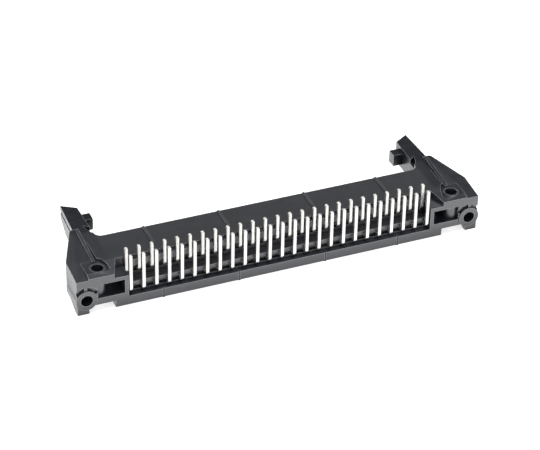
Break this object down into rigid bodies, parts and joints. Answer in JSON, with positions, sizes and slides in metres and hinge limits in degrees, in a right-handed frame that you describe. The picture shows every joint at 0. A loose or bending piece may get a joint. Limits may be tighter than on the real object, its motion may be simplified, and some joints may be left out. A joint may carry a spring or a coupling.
{
  "type": "right-angle pin header",
  "caption": "Right-angle pin header with a long black shroud, fixing towers, hooked latch arms and square solder tails, resting tails up.",
  "frame": {"origin": "centre of the bounding box in X and Y, on the resting plane", "axes": "+X along the rows of contacts, +Y towards the mating side, +Z along the solder tails, away from the resting plane"},
  "size_m": [0.083, 0.0242, 0.011],
  "materials": {
    "housing_plastic": "dull black moulding with a faint sheen",
    "contact_tin": "bright tin plate over copper alloy wire"
  },
  "bodies": {
    "root": {"housing": "housing_plastic", "pin_outer_01": "contact_tin", "pin_outer_02": "contact_tin", "pin_outer_03": "contact_tin", "pin_outer_04": "contact_tin", "pin_outer_05": "contact_tin", "pin_outer_06": "contact_tin", "pin_outer_07": "contact_tin", "pin_outer_08": "contact_tin", "pin_outer_09": "contact_tin", "pin_outer_10": "contact_tin", "pin_outer_11": "contact_tin", "pin_outer_12": "contact_tin", "pin_outer_13": "contact_tin", "pin_outer_14": "contact_tin", "pin_outer_15": "contact_tin", "pin_outer_16": "contact_tin", "pin_outer_17": "contact_tin", "pin_outer_18": "contact_tin", "pin_outer_19": "contact_tin", "pin_outer_20": "contact_tin", "pin_outer_21": "contact_tin", "pin_outer_22": "contact_tin", "pin_outer_23": "contact_tin", "pin_outer_24": "contact_tin", "pin_outer_25": "contact_tin", "pin_inner_01": "contact_tin", "pin_inner_02": "contact_tin", "pin_inner_03": "contact_tin", "pin_inner_04": "contact_tin", "pin_inner_05": "contact_tin", "pin_inner_06": "contact_tin", "pin_inner_07": "contact_tin", "pin_inner_08": "contact_tin", "pin_inner_09": "contact_tin", "pin_inner_10": "contact_tin", "pin_inner_11": "contact_tin", "pin_inner_12": "contact_tin", "pin_inner_13": "contact_tin", "pin_inner_14": "contact_tin", "pin_inner_15": "contact_tin", "pin_inner_16": "contact_tin", "pin_inner_17": "contact_tin", "pin_inner_18": "contact_tin", "pin_inner_19": "contact_tin", "pin_inner_20": "contact_tin", "pin_inner_21": "contact_tin", "pin_inner_22": "contact_tin", "pin_inner_23": "contact_tin", "pin_inner_24": "contact_tin", "pin_inner_25": "contact_tin"}
  },
  "joints": []
}
